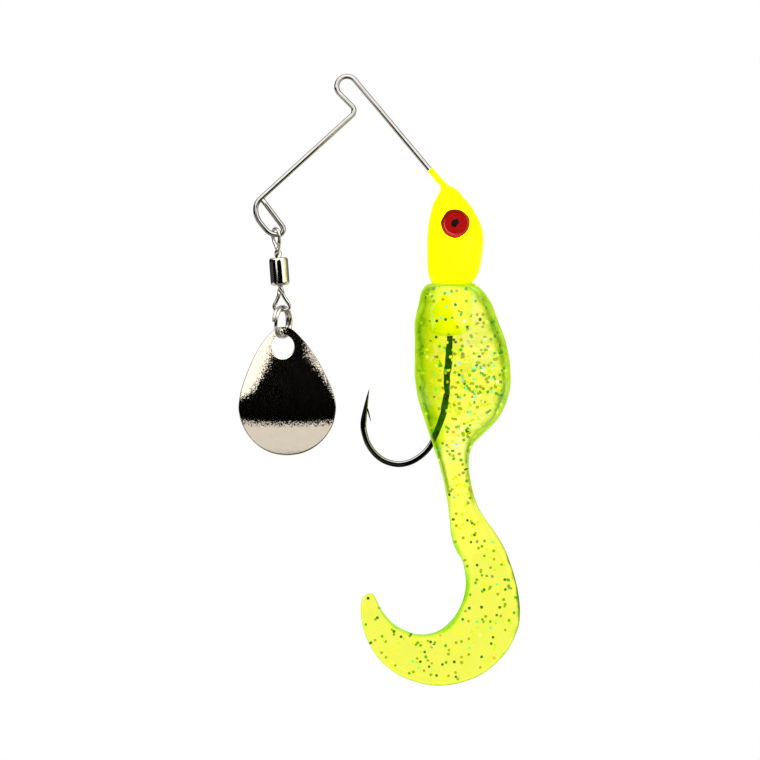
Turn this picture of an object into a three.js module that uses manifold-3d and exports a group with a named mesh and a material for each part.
// Spinnerbait, safety-pin style, with a soft curl-tail grub.
//
// Millimetres, +Z up, +X towards the hook shank, +Y to the far side.
// The origin is the inner apex of the R-bend, where the line is tied.
// The wire form and the hook's bend lie in the plane y = 0.
// The wire form is one piece on the real lure. It is split in the R-bend so that the blade arm
// can flex.

import * as THREE from "three";
import { mergeVertices } from "three/addons/utils/BufferGeometryUtils.js";
import Module from "manifold-3d";

const wasm = await Module();
wasm.setup();

const { clamp, degToRad: rad, lerp, radToDeg, smoothstep } = THREE.MathUtils;

// ---- shared dimensions and finishes -----------------------------------------------------------

const WIRE_D = 0.68; // stainless wire form
const WIRE_SIDES = 10; // sides of the wire form's and the hook's section
const CAST_GAP = 0.06; // clearance round a piece cast into lead or threaded through plastic
const HANG_GAP = 0.06; // clearance between a swivel eye and what it hangs on or carries

const FINISH = {
  wire: { color: 0xb9b6ad, roughness: 0.22, metalness: 1 },
  hook: { color: 0x2b2a2c, roughness: 0.2, metalness: 1 },
  head: { color: 0xf3f20a, roughness: 0.3, metalness: 0.1 },
  eye: { color: 0xb40f0a, roughness: 0.3, metalness: 0 },
  pupil: { color: 0x0a0a0a, roughness: 0.3, metalness: 0 },
  grubBody: { color: 0xe3ea32, roughness: 0.35, metalness: 0 },
  grubTail: { color: 0xf2f65a, roughness: 0.35, metalness: 0 },
  barrel: { color: 0x5a5650, roughness: 0.15, metalness: 1 },
  link: { color: 0xa8a39a, roughness: 0.2, metalness: 1 },
  blade: { color: 0xcfcac0, roughness: 0.12, metalness: 1 },
};

// ---- solids -----------------------------------------------------------------------------------

function toSolid(geometry) {
  const bare = geometry.clone();
  bare.deleteAttribute("normal");
  bare.deleteAttribute("uv");
  const merged = mergeVertices(bare, 1e-5);
  return new wasm.Manifold(
    new wasm.Mesh({
      numProp: 3,
      vertProperties: new Float32Array(merged.attributes.position.array),
      triVerts: new Uint32Array(merged.index.array),
    }),
  );
}

function toGeometry(solid) {
  const mesh = solid.getMesh();
  const geometry = new THREE.BufferGeometry();
  const positions = new Float32Array(mesh.vertProperties);
  geometry.setAttribute("position", new THREE.BufferAttribute(positions, 3));
  geometry.setIndex(new THREE.BufferAttribute(new Uint32Array(mesh.triVerts), 1));
  geometry.computeVertexNormals();
  return geometry;
}

const join = (...parts) => toGeometry(parts.map(toSolid).reduce((a, b) => a.add(b)));

const cut = (body, ...tools) =>
  toGeometry(tools.map(toSolid).reduce((a, b) => a.subtract(b), toSolid(body)));

// ---- wire paths -------------------------------------------------------------------------------

// A path through fixed stations, each a point and a tangent. A tube has one section per station.
class StationPath extends THREE.Curve {
  stations = [];

  addStation(point, tangent) {
    this.stations.push({ point, tangent });
  }

  get steps() {
    return this.stations.length - 1;
  }

  getPointAt(u, target = new THREE.Vector3()) {
    return target.copy(this.stations[Math.round(u * this.steps)].point);
  }

  getTangentAt(u, target = new THREE.Vector3()) {
    return target.copy(this.stations[Math.round(u * this.steps)].tangent);
  }
}

// A bent wire: it starts at a point in a direction, then each step is a straight or a bend.
class BentWire extends StationPath {
  constructor(start, direction) {
    super();
    this.at = new THREE.Vector3(...start);
    this.going = new THREE.Vector3(...direction).normalize();
    this.addStation(this.at.clone(), this.going.clone());
  }

  line(length) {
    this.at.addScaledVector(this.going, length);
    this.addStation(this.at.clone(), this.going.clone());
    return this;
  }

  // step is the wanted angle between stations, in degrees.
  bend(radius, degrees, { axis = [0, -1, 0], step = 15 } = {}) {
    const count = Math.max(1, Math.round(Math.abs(degrees) / step));
    const hinge = new THREE.Vector3(...axis).normalize();
    const toCentre = hinge.clone().cross(this.going);
    const centre = this.at.clone().addScaledVector(toCentre, radius * Math.sign(degrees));
    const spoke = this.at.clone().sub(centre);
    const going = this.going.clone();
    for (let i = 1; i <= count; i++) {
      const angle = (rad(degrees) * i) / count;
      this.at = centre.clone().add(spoke.clone().applyAxisAngle(hinge, angle));
      this.going = going.clone().applyAxisAngle(hinge, angle);
      this.addStation(this.at.clone(), this.going.clone());
    }
    return this;
  }
}

// A smooth path through points [x, z] in the plane y = 0.
function tracedPath(points, steps) {
  const vectors = points.map(([x, z]) => new THREE.Vector3(x, 0, z));
  const curve = new THREE.CatmullRomCurve3(vectors, false, "centripetal");
  const path = new StationPath();
  for (let i = 0; i <= steps; i++) {
    path.addStation(curve.getPointAt(i / steps), curve.getTangentAt(i / steps));
  }
  return path;
}

// A tube along a path; turn rotates its many-sided section, in degrees.
function tube(path, diameter, sides = WIRE_SIDES, turn = 0) {
  const section = [];
  for (let i = 0; i < sides; i++) {
    const angle = (2 * Math.PI * i) / sides + rad(turn);
    const x = (diameter / 2) * Math.cos(angle);
    const y = (diameter / 2) * Math.sin(angle);
    section.push(new THREE.Vector2(x, y));
  }
  return new THREE.ExtrudeGeometry(new THREE.Shape(section), {
    steps: path.steps,
    extrudePath: path,
    bevelEnabled: false,
  });
}

// Unit direction in the x-z plane, in degrees from +X towards +Z.
const inPlane = (degrees) => [Math.cos(rad(degrees)), 0, Math.sin(rad(degrees))];

// ---- other forms ------------------------------------------------------------------------------

// A body of oval sections, from rows of z, least x, greatest x and half depth, top row first.
// Squareness 2 gives ellipses; more makes them fuller.
function ovalBody(rows, squareness) {
  const last = rows.length - 1;
  const body = new THREE.CylinderGeometry(1, 1, 1, 24, last);
  const position = body.attributes.position;
  const squared = (v) => Math.sign(v) * Math.abs(v) ** (2 / squareness);
  for (let i = 0; i < position.count; i++) {
    const [z, minX, maxX, depth] = rows[Math.round((0.5 - position.getY(i)) * last)];
    const isHub = Math.hypot(position.getX(i), position.getZ(i)) < 0.5;
    const across = isHub ? 0 : squared(position.getX(i));
    const deep = isHub ? 0 : squared(position.getZ(i));
    position.setXYZ(i, (minX + maxX) / 2 + (across * (maxX - minX)) / 2, -deep * depth, z);
  }
  return body;
}

// A turned body about the z axis, from rows of radius and z that run up its outside.
// They start and end on the axis or close on themselves.
const turned = (rows, sides) =>
  new THREE.LatheGeometry(
    rows.map(([radius, z]) => new THREE.Vector2(radius, z)),
    sides,
  ).rotateX(Math.PI / 2);

const pinZ = (radius, z0, z1, sides) =>
  turned([[0, z0], [radius, z0], [radius, z1], [0, z1]], sides);

const pinY = (x, z, y0, y1, radius, sides) =>
  new THREE.CylinderGeometry(radius, radius, Math.abs(y1 - y0), sides)
    .translate(x, (y0 + y1) / 2, z);

// A flat plate with an outline of [x, z], centred on y = 0.
const plate = (outline, thickness) =>
  new THREE.ExtrudeGeometry(
    new THREE.Shape(outline.map(([x, z]) => new THREE.Vector2(x, z))),
    { depth: thickness, bevelEnabled: false },
  )
    .rotateX(Math.PI / 2)
    .translate(0, thickness / 2, 0);

const lure = new THREE.Group();

function addPiece(name, geometry, finish, parent = lure) {
  const mesh = new THREE.Mesh(geometry, new THREE.MeshStandardMaterial(finish));
  mesh.name = name;
  parent.add(mesh);
  return mesh;
}

// ---- wire form --------------------------------------------------------------------------------

const R_BEND = 1.33; // centreline radius of the line tie
const LEG_HEADING = -50.1; // direction of the head leg, degrees in the x-z plane
const LEG_LENGTH = 17.6; // straight part of the head leg, down to the bend inside the head
const LEG_BEND_R = 1.6; // bends at the leg's lower end
const FOOT_RISER = 3.0; // straight between those bends and the foot
const FOOT_BEND_R = 0.75;
const FOOT_LENGTH = 0.75;
const ARM_SPLIT = 28; // degrees past the apex where the head leg is cut
const ARM_GAP = 0.4; // gap left in the R-bend for the flex joint
const ARM_EXIT = 314.8; // direction in which the blade arm leaves the R-bend, degrees
const ARM_LENGTH = 16.06; // straight part of the blade arm
const ARM_END = 3.85; // free end beside the arm

// The section's flats face along the bend's radius, so the chord at the apex is flat and level
// inside the R-bend.
const APEX_STEP = 14; // degrees of the chord over the apex
const CHORD_IN = (WIRE_D / 2) * Math.cos(rad(180 / WIRE_SIDES));
const BEND_Z = -(R_BEND - CHORD_IN) * Math.cos(rad(APEX_STEP / 2)); // centre of the R-bend

const onBend = (degrees) => [
  R_BEND * Math.cos(rad(degrees)),
  0,
  BEND_Z + R_BEND * Math.sin(rad(degrees)),
];
const LEG_START = 90 + LEG_HEADING; // where on the bend the head leg leaves it
const SPLIT_AT = 90 + ARM_SPLIT;
const ARM_AT = SPLIT_AT + radToDeg(ARM_GAP / R_BEND);

// Down the leg and into the head, where the foot passes through the hook's eye.
const intoHead = (path, footLength) =>
  path
    .line(LEG_LENGTH)
    .bend(LEG_BEND_R, -36, { step: 12 })
    .bend(LEG_BEND_R, 20, { axis: [1, 0, 0], step: 10 })
    .line(FOOT_RISER)
    .bend(FOOT_BEND_R, -110, { axis: [1, 0, 0], step: 18 })
    .line(footLength);

// From the cut end in the R-bend, over the apex and down to the foot.
function headLegPath() {
  const path = new BentWire(onBend(SPLIT_AT), inPlane(SPLIT_AT - 90))
    .bend(R_BEND, -(ARM_SPLIT - APEX_STEP / 2), { step: 14 })
    .bend(R_BEND, -APEX_STEP)
    .bend(R_BEND, -(90 - APEX_STEP / 2 - LEG_START), { step: 14 });
  return intoHead(path, FOOT_LENGTH);
}

// From the cut end in the R-bend, round the S-bend, along the arm and round the blade loop.
const bladeArmPath = () =>
  new BentWire(onBend(ARM_AT), inPlane(ARM_AT + 90))
    .bend(R_BEND, ARM_EXIT - (ARM_AT + 90))
    .line(2.26)
    .bend(0.85, -92.5) // second half of the S-bend
    .line(ARM_LENGTH)
    .bend(1.86, 47.7, { step: 16 }) // blade loop, in four bends
    .bend(2.9, 40, { step: 13 })
    .line(1.03)
    .bend(1.8, 50, { step: 12 })
    .line(0.18)
    .bend(0.69, 126.9, { step: 16 })
    .line(ARM_END);

// Tunnel for the leg through the head, from the apex to just past the foot.
function wireTunnel() {
  const path = new BentWire(onBend(90), [1, 0, 0]).bend(R_BEND, -(90 - LEG_START));
  return tube(intoHead(path, FOOT_LENGTH + 0.1), WIRE_D + 2 * CAST_GAP);
}

const legPath = headLegPath();
addPiece("wire_head_leg", tube(legPath, WIRE_D), FINISH.wire);
addPiece("wire_blade_arm", tube(bladeArmPath(), WIRE_D), FINISH.wire);

// ---- hook -------------------------------------------------------------------------------------

const HOOK_D = 0.78; // hook wire
const HOOK_EYE_R = 0.95; // centreline radius of the hook's eye, cast into the head
const HOOK_EYE = [legPath.at.x, 0, legPath.at.z];
const SPEAR_BASE = new THREE.Vector3(2.2, 0, -44.2);
const SPEAR_TIP = new THREE.Vector3(2.89, 0, -40.3);
const BARB_T = 0.3;

// x, z down the shank and round the bend to the foot of the spear
const HOOK_TRACE = [
  [13.32, HOOK_EYE[2] - HOOK_EYE_R + 0.1],
  [13.4, -25.5], [13.47, -29.5], [13.49, -33.55], [13.4, -35.43], [13.25, -38.74],
  [13.08, -41.07], [12.66, -43.23], [12.0, -45.21], [11.25, -46.95], [10.45, -48.2],
  [9.35, -49.19], [8.1, -49.85], [6.75, -50.1], [5.37, -49.85], [4.3, -49.3],
  [3.35, -48.4], [2.62, -47.2], [2.2, -45.8], [2.13, -44.9], [2.21, -44.06],
];
const BARB_OUTLINE = [[2.62, -42.75], [2.25, -43.9], [2.75, -43.95], [3.3, -44.43]]; // x, z

const shankPath = tracedPath(HOOK_TRACE, 34);
const shankTunnel = tube(shankPath, HOOK_D + 2 * CAST_GAP);

function spear() {
  const length = SPEAR_TIP.distanceTo(SPEAR_BASE);
  const direction = SPEAR_TIP.clone().sub(SPEAR_BASE).normalize();
  const up = new THREE.Vector3(0, 1, 0);
  return new THREE.ConeGeometry(HOOK_D / 2, length, 10)
    .translate(0, length / 2, 0)
    .applyQuaternion(new THREE.Quaternion().setFromUnitVectors(up, direction))
    .translate(...SPEAR_BASE);
}

function hook() {
  const eye = new THREE.TorusGeometry(HOOK_EYE_R, HOOK_D / 2, 7, 18)
    .rotateX(Math.PI / 2)
    .translate(...HOOK_EYE);
  return join(tube(shankPath, HOOK_D), eye, spear(), plate(BARB_OUTLINE, BARB_T));
}

addPiece("hook", hook(), FINISH.hook);

// ---- head -------------------------------------------------------------------------------------

const HEAD_HALF_DEPTH = 3.05;
const HEAD_TOP = { z: -13.3, taper: 6.5, power: 2.2 }; // taper: height over which it fills out
const HEAD_FOOT = { z: -27.1, taper: 1.6, loss: 0.35 };
const HEAD_SQUARENESS = 2.25;

const STEM_TOP = [10.77, -11.74]; // x, z
const STEM_LENGTH = 3.6;
const STEM_UPPER_R = 0.82;
const STEM_LOWER_R = 0.6;

const KEEPER_X = 13.5;
const KEEPER_Z = -26.5; // height that the collar's rows are measured from

const EYE = [14.08, -18.79]; // x, z
const EYE_R = 1.89; // red eye dab
const EYE_T = 0.5;
const EYE_SIDES = 28;
const EYE_GAP = 0.05; // clearance of the dab in its socket
const EYE_DISH = -0.06; // level of the dab inside its raised rim
const PUPIL_R = 0.5;
const PUPIL_T = 0.16;
const PUPIL_SEAT = { radius: PUPIL_R + 0.1, z: -0.17 }; // recess in the middle of the dab
const PUPIL_SHIFT = [-0.02, 0.03]; // x, z from the dab's centre
const PUPIL_SINK = 0.14; // depth of the pupil's back below the eye's face

// z, least x, greatest x
const HEAD_EDGES = [
  [-13.55, 12.1, 12.9], [-13.8, 12.08, 13.45], [-14.18, 12.05, 14.01],
  [-14.57, 11.96, 14.47], [-14.96, 11.79, 14.83], [-15.74, 11.41, 15.51],
  [-16.52, 11.14, 16.08], [-17.3, 10.95, 16.6], [-18.08, 10.75, 17.02],
  [-18.86, 10.6, 17.37], [-19.64, 10.5, 17.6], [-20.42, 10.45, 17.69],
  [-21.2, 10.44, 17.74], [-22.76, 10.44, 17.6], [-24.32, 10.47, 17.37],
  [-25.1, 10.52, 17.17], [-25.88, 10.68, 16.8], [-26.35, 10.95, 16.4],
  [-26.6, 11.3, 16.0],
];

// radius, z of the collar that holds the grub
const KEEPER_ROWS = [
  [0, -6.9], [1.3, -6.75], [2.1, -6.3], [2.45, -5.4], [2.5, -4.2],
  [2.4, -2.6], [2.25, -0.6], [2.1, 0.9], [0, 0.9],
];

// Half depth of the head at a height.
function headDepth(z) {
  const below = clamp((HEAD_TOP.z - z) / HEAD_TOP.taper, 0, 1);
  const above = clamp((z - HEAD_FOOT.z) / HEAD_FOOT.taper, 0, 1);
  const topFactor = Math.sqrt(1 - (1 - below) ** HEAD_TOP.power);
  const footFactor = Math.sqrt(1 - HEAD_FOOT.loss * (1 - above) ** 2);
  return HEAD_HALF_DEPTH * topFactor * footFactor;
}

const eyeFace = headDepth(EYE[1]) + 0.04; // distance of the dab's face from y = 0

// stem of coating and lead round the wire
function stem() {
  const [x, , z] = inPlane(LEG_HEADING);
  const down = new THREE.Vector3(0, -1, 0);
  const legDirection = new THREE.Vector3(x, 0, z);
  return new THREE.CylinderGeometry(STEM_UPPER_R, STEM_LOWER_R, STEM_LENGTH, 16)
    .applyQuaternion(new THREE.Quaternion().setFromUnitVectors(down, legDirection))
    .translate(STEM_TOP[0] + (x * STEM_LENGTH) / 2, 0, STEM_TOP[1] + (z * STEM_LENGTH) / 2);
}

const keeperForm = (rows) => turned(rows, 24).translate(KEEPER_X, 0, KEEPER_Z);

function eyeSocket(side) {
  const bottom = side * (eyeFace - EYE_T - EYE_GAP);
  return pinY(...EYE, bottom, side * (eyeFace + 1), EYE_R + EYE_GAP, EYE_SIDES);
}

function hookEyePocket() {
  const room = HOOK_D / 2 + CAST_GAP + 0.02; // from the eye's centreline to the pocket's wall
  return pinY(HOOK_EYE[0], HOOK_EYE[2], -room, room, HOOK_EYE_R + room, 24);
}

function head() {
  const rows = HEAD_EDGES.map(([z, minX, maxX]) => [z, minX, maxX, headDepth(z)]);
  return cut(
    join(ovalBody(rows, HEAD_SQUARENESS), stem(), keeperForm(KEEPER_ROWS)),
    eyeSocket(-1),
    eyeSocket(1),
    wireTunnel(),
    hookEyePocket(),
    shankTunnel,
  );
}

// red dab with a low raised rim; z = 0 is its face
const eyeDab = () =>
  turned(
    [
      [0, -EYE_T],
      [EYE_R, -EYE_T],
      [EYE_R, EYE_DISH],
      [EYE_R - 0.12, 0.02],
      [EYE_R - 0.3, 0.03],
      [EYE_R - 0.5, EYE_DISH],
      [PUPIL_SEAT.radius, EYE_DISH],
      [PUPIL_SEAT.radius, PUPIL_SEAT.z],
      [0, PUPIL_SEAT.z],
    ],
    EYE_SIDES,
  );

// black dab with a bevelled edge; z = 0 is its back
const pupilDab = () =>
  turned(
    [
      [0, 0],
      [PUPIL_R, 0],
      [PUPIL_R, PUPIL_T - 0.05],
      [PUPIL_R - 0.1, PUPIL_T],
      [0, PUPIL_T],
    ],
    14,
  );

function addEye(side, name) {
  const outward = (-side * Math.PI) / 2; // turns a dab's +z away from the head
  const eye = addPiece("eye_" + name, eyeDab(), FINISH.eye);
  eye.rotation.x = outward;
  eye.position.set(EYE[0], side * eyeFace, EYE[1]);

  const pupil = addPiece("pupil_" + name, pupilDab(), FINISH.pupil);
  const [shiftX, shiftZ] = PUPIL_SHIFT;
  pupil.rotation.x = outward;
  pupil.position.set(EYE[0] + shiftX, side * (eyeFace - PUPIL_SINK), EYE[1] + shiftZ);
}

addPiece("head", head(), FINISH.head);
addEye(-1, "left");
addEye(1, "right");

// ---- grub -------------------------------------------------------------------------------------

const TAIL_TOP_Z = -51.4;
const TAIL_T = 1;
const TAIL_ROOT_SCALE = 2.1; // thickness at the root over that of the ribbon
const TAIL_TAPER = 8; // height over which the root thins

// z, least x, greatest x, half depth
const GRUB_ROWS = [
  [-26.85, 10.45, 16.75, 3.1], [-27.44, 9.8, 17.55, 3.5], [-28.09, 9.53, 18.12, 3.75],
  [-29.39, 9.29, 18.89, 4.05], [-30.69, 8.97, 19.37, 4.25], [-31.99, 8.76, 19.84, 4.4],
  [-33.94, 8.85, 20.58, 4.5], [-35.24, 8.83, 20.97, 4.55], [-36.54, 8.78, 21.14, 4.6],
  [-38.49, 8.78, 21.27, 4.6], [-39.79, 8.92, 21.25, 4.55], [-41.09, 9.14, 21.02, 4.4],
  [-42.39, 9.46, 20.62, 4.1], [-43.69, 9.85, 20.06, 3.65], [-44.34, 10.18, 19.46, 3.35],
  [-44.99, 10.54, 18.97, 3.05], [-45.64, 10.62, 18.3, 2.75], [-46.29, 10.8, 17.58, 2.5],
  [-46.94, 10.96, 16.84, 2.25], [-47.59, 11.18, 16.43, 2.0], [-48.24, 11.35, 16.16, 1.8],
  [-48.89, 11.62, 16.0, 1.65], [-49.54, 11.86, 15.9, 1.5], [-50.4, 12.1, 15.84, 1.35],
  [-50.75, 12.35, 15.7, 1.15],
];

// radius, z of the room for the collar inside the body
const KEEPER_ROOM_ROWS = [
  [0, -7.02], [1.35, -6.88], [2.2, -6.4], [2.55, -5.45], [2.6, -4.2],
  [2.5, -2.6], [2.35, -0.6], [2.2, 2], [0, 2],
];

// x, z: down the least-x edge to the tip, then back round the outer edge
const TAIL_OUTLINE = [
  [12.62, TAIL_TOP_Z], [12.54, -52.14], [12.79, -53.44], [13.0, -54.74], [13.17, -56.04],
  [13.34, -57.34], [13.42, -58.64], [13.7, -59.94], [14.17, -61.24], [14.95, -62.54],
  [15.26, -63.84], [15.43, -65.14], [15.38, -66.44], [15.09, -67.74], [14.52, -69.04],
  [13.65, -70.34], [12.6, -71.3], [11.6, -71.85], [10.9, -72.08], [9.95, -72.23],
  [8.52, -72.06], [7.37, -71.64], [6.25, -70.99], [5.53, -70.34], [4.93, -69.69],
  [4.46, -69.04], [4.11, -68.39], [3.85, -67.74], [3.54, -67.09], [2.86, -66.86],
  [2.16, -67.09], [1.87, -67.74], [1.79, -69.04], [1.87, -70.34], [2.13, -71.64],
  [2.61, -72.94], [3.29, -74.24], [4.28, -75.54], [5.72, -76.84], [8.15, -78.14],
  [10.14, -78.7], [12.09, -78.92], [14.04, -78.73], [15.99, -78.14], [18.41, -76.84],
  [19.9, -75.54], [20.93, -74.24], [21.62, -72.94], [22.1, -71.64], [22.41, -70.34],
  [22.52, -69.04], [22.45, -67.74], [22.24, -66.44], [21.94, -65.14], [21.59, -63.84],
  [21.15, -62.54], [20.59, -61.24], [19.77, -59.94], [18.79, -58.64], [17.88, -57.34],
  [17.15, -56.04], [16.68, -54.74], [16.34, -53.44], [16.04, -52.14], [15.8, TAIL_TOP_Z],
];

const grubBody = () => cut(ovalBody(GRUB_ROWS, 2), keeperForm(KEEPER_ROOM_ROWS), shankTunnel);

// curl tail: a flat ribbon that widens, turns under and comes back up to its tip
function grubTail() {
  const tail = plate(TAIL_OUTLINE, TAIL_T);
  const position = tail.attributes.position;
  for (let i = 0; i < position.count; i++) {
    const down = clamp((TAIL_TOP_Z - position.getZ(i)) / TAIL_TAPER, 0, 1);
    position.setY(i, position.getY(i) * lerp(TAIL_ROOT_SCALE, 1, down * (2 - down)));
  }
  return tail;
}

addPiece("grub_body", grubBody(), FINISH.grubBody);
addPiece("grub_tail", grubTail(), FINISH.grubTail);

// ---- swivel -----------------------------------------------------------------------------------

// In the swivel's own frame the axis is z, and z = 0 is the barrel's upper end.
const SWIVEL_LEAN = 4.09; // degrees the swivel hangs out of the vertical
const SWIVEL_TOP = [-8.93, 0, -23.22]; // centre of the barrel's upper end
const BARREL_R = 2.47 / 2;
const BARREL_L = 3.65;
const BARREL_WALL = 0.26;
const BARREL_MOUTH_R = 0.6; // hole at each end of the barrel
const SWIVEL_WIRE_D = 0.44;
const UPPER_EYE_R = 0.82; // centreline radius of the upper eye's bow
const UPPER_EYE_TURN = -60; // degrees the upper eye is turned about the swivel's axis
const BLADE_LOOP_Z = -20.07; // centreline of the wire form's loop, in the lure's frame

const RING_R = 2.0; // mean radius of the split ring
const RING_WIRE_D = 0.4;
const RING_CENTRE = [-8.4, 0, -31.6];

function swivelBarrel() {
  const bore = BARREL_R - BARREL_WALL;
  const rows = [
    [BARREL_MOUTH_R, 0],
    [BARREL_MOUTH_R, -BARREL_WALL],
    [bore - 0.15, -BARREL_WALL],
    [bore, -0.5],
    [bore, -BARREL_L + 0.5],
    [bore - 0.15, -BARREL_L + BARREL_WALL],
    [BARREL_MOUTH_R, -BARREL_L + BARREL_WALL],
    [BARREL_MOUTH_R, -BARREL_L],
    [BARREL_R - 0.42, -BARREL_L],
    [BARREL_R - 0.16, -BARREL_L + 0.1],
    [BARREL_R, -BARREL_L + 0.38],
    [BARREL_R, -0.38],
    [BARREL_R - 0.16, -0.1],
    [BARREL_R - 0.42, 0],
    [BARREL_MOUTH_R, 0],
  ];
  return turned(rows, 24);
}

// A swivel eye: a bow, a stem and a head inside the barrel. The bow is given by the [x, z]
// points of its -x half and the z of its crown; stem and head by their lower and upper z.
function swivelEye({ half, crown, steps, stemSpan, headSpan }) {
  const mirrored = half.map(([x, z]) => [-x, z]).reverse();
  const bow = tracedPath([...half, [0, crown], ...mirrored], steps);
  return join(
    tube(bow, SWIVEL_WIRE_D, 8, 22.5),
    pinZ(0.44, ...stemSpan, 16),
    pinZ(0.8, ...headSpan, 20),
  );
}

// a bow over the blade loop
function upperEye() {
  const loopZ = BLADE_LOOP_Z - SWIVEL_TOP[2];
  const crown = loopZ + WIRE_D / 2 + HANG_GAP + SWIVEL_WIRE_D / 2;
  const centre = crown - UPPER_EYE_R;
  const diagonal = UPPER_EYE_R * 0.71;
  return swivelEye({
    half: [
      [-0.12, 0.95],
      [-0.34, 1.3],
      [-0.7, 1.95],
      [-UPPER_EYE_R, centre],
      [-diagonal, centre + diagonal],
    ],
    crown,
    steps: 30,
    stemSpan: [-0.6, 1.12],
    headSpan: [-0.85, -0.36],
  });
}

// a rounded triangle that the split ring hangs in
function lowerEye() {
  const ringInnerTop = RING_CENTRE[2] + RING_R - RING_WIRE_D / 2;
  const drop = ringInnerTop - SWIVEL_WIRE_D / 2 - HANG_GAP - SWIVEL_TOP[2];
  const crown = drop / Math.cos(rad(SWIVEL_LEAN));
  return swivelEye({
    half: [
      [-0.1, -BARREL_L - 0.75],
      [-0.24, -BARREL_L - 1.25],
      [-0.88, -BARREL_L - 2.35],
      [-0.98, crown + 0.34],
      [-0.72, crown + 0.05],
    ],
    crown,
    steps: 36,
    stemSpan: [-BARREL_L - 0.95, -BARREL_L + 0.6],
    headSpan: [-BARREL_L + 0.36, -BARREL_L + 0.85],
  });
}

const swivel = new THREE.Group();
swivel.position.set(...SWIVEL_TOP);
swivel.rotation.y = rad(-SWIVEL_LEAN);
lure.add(swivel);
addPiece("swivel_barrel", swivelBarrel(), FINISH.barrel, swivel);
const upper = addPiece("swivel_upper_eye", upperEye(), FINISH.link, swivel);
upper.rotation.z = rad(UPPER_EYE_TURN);
addPiece("swivel_lower_eye", lowerEye(), FINISH.link, swivel);

// ---- split ring -------------------------------------------------------------------------------

const RING_PITCH = 0.46; // one coil to the next
const RING_TURNS = 1.93;
const RING_FROM = 205; // degrees round the ring where the wire starts
const RING_STEPS = 46;
const RING_TURN = 65; // degrees the ring is turned about the vertical

// Nearly two turns of wire side by side. The ring's own plane is x-z, its axis is y.
function splitRing() {
  const path = new StationPath();
  for (let i = 0; i <= RING_STEPS; i++) {
    const along = i / RING_STEPS;
    const angle = rad(RING_FROM) + 2 * Math.PI * RING_TURNS * along;
    const [cos, sin] = [Math.cos(angle), Math.sin(angle)];
    // flat turns, with the step from one to the next over a short arc
    const y = RING_PITCH * (smoothstep(along, 0.4, 0.6) - 0.5);
    path.addStation(
      new THREE.Vector3(RING_R * cos, y, RING_R * sin),
      new THREE.Vector3(-sin, 0, cos),
    );
  }
  return tube(path, RING_WIRE_D, 6);
}

const ring = addPiece("split_ring", splitRing(), FINISH.link);
ring.position.set(...RING_CENTRE);
ring.rotation.z = rad(RING_TURN);

// ---- blade ------------------------------------------------------------------------------------

const BLADE_T = 0.5;
const BLADE_DOME = 1.5; // how far the middle of the blade stands proud of its rim, towards -Y
const BLADE_HOLE_R = 1.5;
const BLADE_HOLE = [-8.38, -34.73]; // x, z
const BLADE_MID = [-7.85, -41.2]; // x, z
const NECK = [34, 39.5]; // depths below the origin between which the dome sets in

// x, z from the top, down the +x side and up the -x side
const BLADE_OUTLINE = [
  [-8.45, -32.2], [-7.7, -32.3], [-6.9, -32.75], [-5.98, -33.68], [-5.07, -34.72],
  [-4.29, -35.76], [-3.64, -36.8], [-3.08, -37.84], [-2.6, -38.88], [-2.05, -39.92],
  [-1.69, -40.96], [-1.48, -42.0], [-1.41, -42.78], [-1.48, -43.56], [-1.69, -44.6],
  [-2.15, -45.64], [-2.86, -46.68], [-3.95, -47.72], [-5.0, -48.35], [-6.2, -48.78],
  [-7.72, -48.96], [-9.3, -48.78], [-10.5, -48.35], [-11.55, -47.72], [-12.65, -46.68],
  [-13.3, -45.64], [-13.75, -44.6], [-14.04, -43.56], [-14.11, -42.78], [-14.04, -42.0],
  [-13.88, -40.96], [-13.6, -39.92], [-13.22, -38.88], [-12.84, -37.84], [-12.42, -36.8],
  [-11.95, -35.76], [-11.4, -34.72], [-10.6, -33.68], [-9.75, -32.75], [-9.1, -32.3],
];

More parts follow.
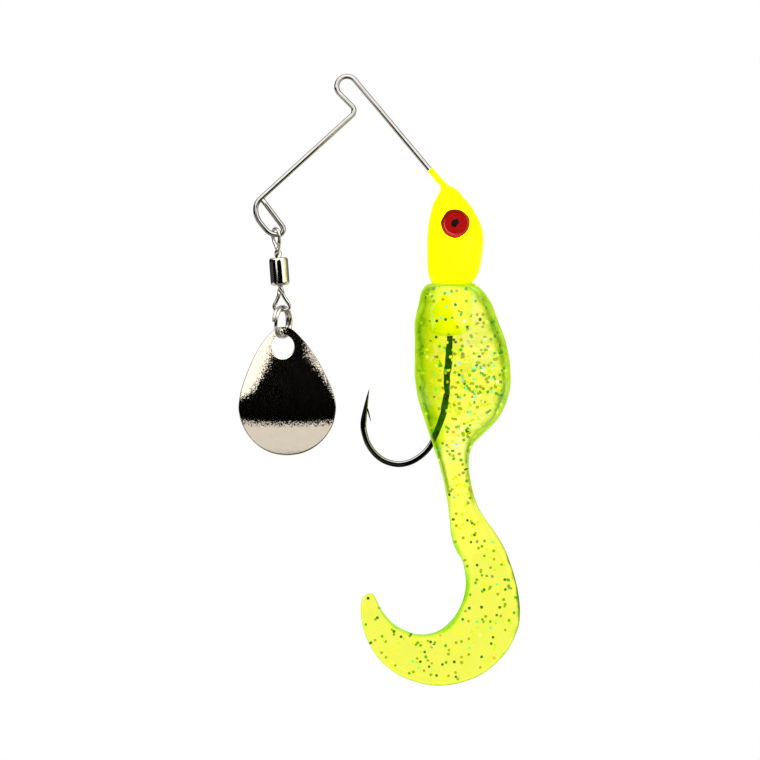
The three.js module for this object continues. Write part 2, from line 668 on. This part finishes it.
// Distance from the blade's middle to its edge in a direction.
function bladeReach(angle) {
  const rayX = Math.cos(angle);
  const rayZ = Math.sin(angle);
  for (let i = 0; i < BLADE_OUTLINE.length; i++) {
    const [startX, startZ] = BLADE_OUTLINE[i];
    const [endX, endZ] = BLADE_OUTLINE[(i + 1) % BLADE_OUTLINE.length];
    const edgeX = endX - startX;
    const edgeZ = endZ - startZ;
    const cross = rayZ * edgeX - rayX * edgeZ;
    if (Math.abs(cross) < 1e-12) continue; // the edge is parallel to the ray
    const toX = startX - BLADE_MID[0];
    const toZ = startZ - BLADE_MID[1];
    const distance = (toZ * edgeX - toX * edgeZ) / cross;
    const along = (rayX * toZ - rayZ * toX) / cross; // 0 to 1 on the edge
    if (distance > 0 && along >= -1e-9 && along <= 1 + 1e-9) return distance;
  }
  throw new Error("the blade's outline is open");
}

// A sphere pressed into a domed plate: its equator becomes the rim.
function spinnerBlade() {
  const form = new THREE.SphereGeometry(1, 36, 12);
  const position = form.attributes.position;
  for (let i = 0; i < position.count; i++) {
    const [x, y, z] = [position.getX(i), position.getY(i), position.getZ(i)];
    const polar = Math.acos(clamp(-y, -1, 1)) / (Math.PI / 2); // 0 at -y, 1 rim, 2 at +y
    const outward = Math.min(polar, 2 - polar); // 0 middle, 1 rim
    const angle = Math.atan2(z, x);
    const reach = Math.hypot(x, z) < 1e-6 ? 0 : bladeReach(angle) * outward;
    const bladeX = BLADE_MID[0] + reach * Math.cos(angle);
    const bladeZ = BLADE_MID[1] + reach * Math.sin(angle);
    const neck = smoothstep(-bladeZ, ...NECK); // flat round the hole
    const dome = BLADE_DOME * (1 - outward ** 2.2) * neck;
    const edge = Math.min(1, (1 - outward) * 7); // rounded edge
    const half = (BLADE_T / 2) * Math.sqrt(1 - (1 - edge) ** 2 * 0.6);
    const isRim = Math.abs(polar - 1) < 1e-6;
    const offset = isRim ? 0 : polar < 1 ? -half : half;
    position.setXYZ(i, bladeX, -dome + offset, bladeZ);
  }
  return cut(form, pinY(...BLADE_HOLE, -4, 4, BLADE_HOLE_R, 24));
}

addPiece("spinner_blade", spinnerBlade(), FINISH.blade);

export default lure;
